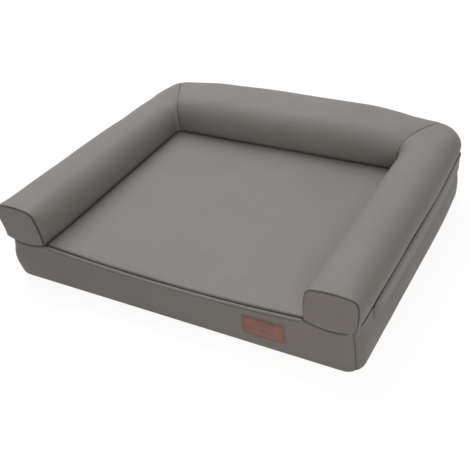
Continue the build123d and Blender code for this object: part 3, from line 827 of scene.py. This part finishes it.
tape_start = zip_start + lay
for name, node, low, high in (
    ("zip_tape_low", "lower_tape", boxing_under_zip - tape_lap, zip_height - tape_split),
    ("zip_tape_high", "upper_tape", zip_height + tape_split, boxing_top),
):
    tape = strip_mesh(name, run_round(tape_start, tape_start), tape_section(low, high), zip_cloth, "zip_tape")
    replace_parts(tape, node)
coil_line = run_round(stop_y, stop_y, coil_pitch / 2)
for name, node, low in (
    ("coil_low", "lower_coil", zip_height - coil_split - coil_width),
    ("coil_high", "upper_coil", zip_height + coil_split),
):
    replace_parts(strip_mesh(name, coil_line, coil_section(low), coil_nylon, "zip_coil"), node)
for name in ("lower_top_stop", "upper_top_stop", "bottom_stop"):
    nodes[name].data.materials.clear()
    nodes[name].data.materials.append(zip_zinc)
for node, name, body in (("zip_slider", "cast_slider", "slider"), ("pull_tab", "pressed_tab", "tab")):
    mesh = nodes[node].data.copy()
    part = bpy.data.objects.new(name, mesh)
    take_up(part, gap=0.00001, flat=0.05)
    soft_edge = part.modifiers.new("soft_edge", "BEVEL")
    soft_edge.width, soft_edge.segments, soft_edge.limit_method = 0.00022, 2, "ANGLE"
    bpy.ops.object.modifier_apply(modifier=soft_edge.name)
    bpy.ops.object.shade_smooth_by_angle(angle=0.6)
    mesh.materials.clear()
    mesh.materials.append(zip_zinc)
    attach(part, body)
    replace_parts(part, node)

# Zip flap.
# A narrow strip of the cover cloth, folded along its lower edge and sewn on above the zip, that hangs
# over the tapes and hides them. Its top edge rolls up against the bolsters.
flap_top, flap_low = 95.43, 69.43
flap_in, flap_out = 0.8, 8.5
flap_start_right, flap_start_left = -213.5, -145.5
flap_roll = [(flap_in, 94.3), (flap_in, flap_top), (0.9, 98.6), (1.1, 101.0), (2.4, 103.8), (3.6, 106.2), (4.9, 107.5)]
flap_roll += [(6.3, 107.5), (7.6, 106.2), (8.4, 104.0), (8.5, 101.8)]
roll_foot, outer_low, drop_steps = 99.0, 70.4, 20
flap_outer = [(flap_out, z) for z in spread(roll_foot, outer_low, drop_steps)]
flap_hem = [(flap_out - 0.1, 69.7), (7.9, flap_low), (7.5, 69.7), (7.3, 71.0), (7.2, 78.0), (7.2, 86.0)]
flap_inside = [(7.2, 91.0), (6.1, 93.4), (3.6, 94.2)]
outer_count = len(flap_roll) + len(flap_outer) + 2
crease_run, crease_drop, crease_soft, crease_width = 62.0, 27.0, 2.4, 2.2
close_hem, open_run, held_run, pressed_run, corner_tuck = 3.8, 9.0, 7.0, 120, 2.6


def flap_section(k, x, y, out_x):
    """The flap's section: a roll against the bolster, and a hem that lies close in on the right and the back."""
    start = flap_start_right if x > 0 else flap_start_left
    to_end = y - start if abs(x) > seam_x + 1 else far_off
    # A crease runs down the flap from where it starts on the right
    run = min(1.0, to_end / crease_run)
    crease = flap_top + 1.0 - crease_drop * run
    # On the left the flap stands free of the slider; hug is 0 there and 1 on the back and the right
    hug = min(1.0, out_x + 1.0)
    corner = 2 * abs(out_x) * sqrt(max(0.0, 1 - out_x**2)) * clamped((hug - 0.06) / 0.2)
    open_up = 1 - exp(-to_end / open_run)
    opened = open_up if x > 0 else 1.0
    pressed = 1 - 0.35 * (1 - corner) * exp(-((x - seam_x) ** 2 + (y - seam_back) ** 2) / pressed_run**2)
    start_share = 1 - run if x > 0 else 0.0
    held_in = 0.9 + 3.8 * (1 - exp(-to_end / held_run))
    ring = []
    for j, (out, z) in enumerate(flap_roll + flap_outer + flap_hem + flap_inside):
        down = clamped((roll_foot - z) / (roll_foot - flap_low))
        reach = out + (0.3 * (1 - hug) - close_hem * hug * down) * (out > 3.4)
        reach = flap_in + (reach - flap_in) * (1 - 0.5 * corner) * (0.5 + 0.5 * opened) * pressed
        reach += uneven_cloth(x, y, z, 0.15 + 0.85 * hug, 45.0) * down
        if 1 < j < 5:
            reach -= corner_tuck * corner
        if z < roll_foot:
            below = 1 / (1 + exp((z - crease) / crease_soft))
            closest = held_in if j < outer_count else held_in - cloth
            reach -= below * start_share * max(0.0, reach - closest)
        lift = (z - flap_top) * (1 - 0.35 * corner) * (0.58 + 0.42 * abs(out_x)) * (0.35 + 0.65 * open_up)
        # Painted shade along the crease where the flap starts on the right
        shade = 0.5 * start_share * exp(-(((z - crease) / crease_width) ** 2)) if to_end < crease_run else 0.0
        ring.append((reach, z if z < flap_top else flap_top + lift, shade))
    return ring


flap_line = run_round(flap_start_right, flap_start_left, 3.0)
flap = strip_mesh("side_flap", flap_line, flap_section, cover_cloth, "cover_cloth")
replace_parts(flap, "zip_flap")

# Leather patch on the front.
# A bare rectangle of split leather, sewn on near the right bolster with one row of stitches close to
# its edge.
patch_x, patch_z, patch_width, patch_height, patch_thick = 185.76, 50.36, 77.0, 37.0, 1.4
patch_corner, corner_steps, patch_step = 2.5, 5, 4
stitch_length, stitch_gap, stitch_thick, stitch_inset, stitch_lift = 2.7, 1.2, 0.45, 3.0, 1.35

# Split leather, shaved and dyed through: matt, mottled over 14 mm, with pores of 1 mm, drawn coarse enough to show
patch_leather, tree, at = new_material("split_leather")
broad = add_node(tree, "TexNoise", at, in_Scale=70.0, in_Detail=5.0, in_Roughness=0.6)
tint = add_node(tree, "ValToRGB", [("Fac", broad, "Fac")], ramp=[(0.3, "#8c685f"), (0.75, "#ab8275")])
pores = add_node(tree, "TexVoronoi", at, in_Scale=900.0)
grain = add_node(tree, "Bump", [("Height", pores, "Distance")], in_Strength=0.4, in_Distance=0.0002)
end_material(tree, [("Base Color", tint, "Color"), ("Normal", grain, "Normal")], in_Roughness=0.7)


def front_face(x, z, lift):
    """A point on the stuffed front of the base, lifted off it."""
    return x, base_front - crown_out(z) - wall_swell(x, base_front, z) - lift, z


def patch_outline():
    """The rounded outline of the patch round its middle, as (x, z)."""
    ring = []
    for turn, sign_x, sign_z in ((0, 1, 1), (1, -1, 1), (2, -1, -1), (3, 1, -1)):
        x, z = sign_x * (patch_width / 2 - patch_corner), sign_z * (patch_height / 2 - patch_corner)
        angles = spread(turn * pi / 2, (turn + 1) * pi / 2, corner_steps)
        ring += [(x + patch_corner * cos(angle), z + patch_corner * sin(angle)) for angle in angles]
    filled = []
    for a, b in zip(ring, ring[1:] + ring[:1]):
        count = max(1, round(dist(a, b) / patch_step))
        filled += line_points(a, b, count)[:-1]
    return filled


# From the back edge over the cut edge and the stitched groove to the middle, as (in from the edge, lift)
patch_steps = [(0.3, 0.1), (0.0, 0.5), (0.1, 1.1), (0.5, 1.4), (2.2, 1.45), (2.7, 1.15), (3.3, 1.15), (3.8, 1.45)]
patch_steps += [(6.0, 1.5)]
patch_scales = [(1 - 2 * inward / patch_width, 1 - 2 * inward / patch_height, lift) for inward, lift in patch_steps]
inner_x, inner_z, inner_lift = 1 - 12 / patch_width, 1 - 12 / patch_height, patch_thick + 0.15
patch_scales += [(share * inner_x, share * inner_z, inner_lift) for share in (0.72, 0.45, 0.2)]
rings = []
for scale_x, scale_z, lift in patch_scales:
    rings.append([front_face(patch_x + x * scale_x, patch_z + z * scale_z, lift) for x, z in patch_outline()])
patch = cloth_mesh("leather_patch", *tube(rings), patch_leather, "patch_leather")
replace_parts(patch, "label_patch")

# Waxed polyester thread, twisted from three yarns: dark and a little shiny, one turn in about 0.7 mm
twist = {"in_Scale": 900.0, "bands_direction": "DIAGONAL"}
patch_thread = patterned("waxed_thread", "Wave", ("#4a342d", "#61463c"), roughness=0.6, **twist)


def stitches():
    """Short threads round the patch, each swelling in the middle and diving into the leather at both ends."""
    half_x, half_z = patch_width / 2 - stitch_inset, patch_height / 2 - stitch_inset
    corners = [(-half_x, -half_z), (half_x, -half_z), (half_x, half_z), (-half_x, half_z)]
    points, faces = [], []
    for a, b in zip(corners, corners[1:] + corners[:1]):
        long = dist(a, b)
        go_x, go_z = (b[0] - a[0]) / long, (b[1] - a[1]) / long
        for x, z in line_points(a, b, 2 * round(long / (stitch_length + stitch_gap)))[1::2]:
            rings = []
            for along, size in ((-0.5, 0.15), (-0.36, 0.8), (0.0, 1.0), (0.36, 0.8), (0.5, 0.15)):
                at_x, at_z = patch_x + x + go_x * along * stitch_length, patch_z + z + go_z * along * stitch_length
                drop = 0.35 * (2 * along) ** 2
                thick, turns = stitch_thick * size, spread(0, 2 * pi, 6)[:-1]
                sides = [(thick * cos(t), stitch_lift - drop + thick * sin(t)) for t in turns]
                rings.append([front_face(at_x - go_z * wide, at_z + go_x * wide, up) for wide, up in sides])
            thread, skin = tube(rings)
            faces += [tuple(len(points) + k for k in face) for face in skin]
            points += thread
    return points, faces


cloth_mesh("patch_stitches", *stitches(), patch_thread, "patch_leather")

# Stage: camera, floor and light.
# The bed lies on a pale floor under soft daylight from above and behind. The camera stands high in
# front and to the right.
frame_width, sensor_width = 470.0, 36.0
focal, azimuth, elevation, tilt, distance = 763.395, 0.5551, 0.6146, -0.1251, 1442.97
target = Vector((63.22, -3.11, 60.0))
centre_x, centre_y = 275.37, 212.49
back = Vector((sin(azimuth) * cos(elevation), -cos(azimuth) * cos(elevation), sin(elevation)))
ahead = -back
right = ahead.cross(Vector((0, 0, 1))).normalized()
up = right.cross(ahead)
side = cos(tilt) * right + sin(tilt) * up
head = -sin(tilt) * right + cos(tilt) * up
lens = bpy.data.cameras.new("camera")
lens.sensor_width = sensor_width
lens.lens = focal * sensor_width / frame_width
lens.shift_x = (frame_width / 2 - centre_x) / frame_width
lens.shift_y = (centre_y - frame_width / 2) / frame_width
lens.clip_start, lens.clip_end = 0.05, 50.0
camera = bpy.data.objects.new("camera", lens)
scene.collection.objects.link(camera)
place = (target + back * distance) / 1000
camera.matrix_world = Matrix([(side[k], head[k], back[k], place[k]) for k in range(3)] + [(0, 0, 0, 1)])
scene.camera = camera


def seen_ray(tree):
    """One where the background is looked at, straight or in gloss or glass, and nought where it gives light."""
    ray = add_node(tree, "LightPath")
    plain = [(0, ray, "Is Camera Ray"), (1, ray, "Is Glossy Ray")]
    gloss = add_node(tree, "Math", plain, operation="MAXIMUM")
    return add_node(tree, "Math", [(0, gloss, "Value"), (1, ray, "Is Transmission Ray")], operation="MAXIMUM")


# Floor: matt paper, white where it is looked at, keeping the bed's shadow, and pale grey where it gives light
bpy.ops.object.select_all(action="DESELECT")
bpy.ops.mesh.primitive_plane_add(size=12.0, location=(0, 0, 0))
ground = bpy.context.active_object
ground.name = "floor"
white_floor = bpy.data.materials.new("pale_floor")
tree = clean_tree(white_floor)
paint = add_node(tree, "BsdfDiffuse", in_Color=linear("#b9b9b8"))
glow = add_node(tree, "Emission", in_Color=(1, 1, 1, 1), in_Strength=0.9)
bright = add_node(tree, "BsdfDiffuse", in_Color=(0.2, 0.2, 0.2, 1))
seen = add_node(tree, "AddShader", [(0, glow, 0), (1, bright, 0)])
floor_mix = [("Fac", seen_ray(tree), "Value"), (1, paint, 0), (2, seen, 0)]
add_node(tree, "OutputMaterial", [("Surface", add_node(tree, "MixShader", floor_mix), 0)])
ground.data.materials.append(white_floor)
ground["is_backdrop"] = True

# World: a plain white background, and a weaker, slightly warm light on the bed
world = bpy.data.worlds.new("room")
scene.world = world
tree = clean_tree(world)
soft = add_node(tree, "Background", in_Color=linear("#fffaf5"), in_Strength=0.27)
plain = add_node(tree, "Background", in_Color=(1, 1, 1, 1), in_Strength=1.0)
room_mix = [("Fac", seen_ray(tree), "Value"), (1, soft, 0), (2, plain, 0)]
add_node(tree, "OutputWorld", [("Surface", add_node(tree, "MixShader", room_mix), 0)])


def softbox(name, where, size, power, tint):
    """A large square lamp that looks towards the bed."""
    lamp = bpy.data.lights.new(name, "AREA")
    lamp.shape, lamp.size, lamp.energy, lamp.color = "SQUARE", size, power, linear(tint)[:3]
    made = bpy.data.objects.new(name, lamp)
    scene.collection.objects.link(made)
    made.location = where
    made.rotation_euler = (-Vector(where)).to_track_quat("-Z", "Y").to_euler()


softbox("key", (-1.6, 1.6, 3.6), size=3.2, power=103.0, tint="#fdfeff")
softbox("fill", (1.15, -1.45, 0.9), size=1.0, power=8.3, tint="#fff4ea")
scene.view_settings.view_transform = "Standard"

low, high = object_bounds()
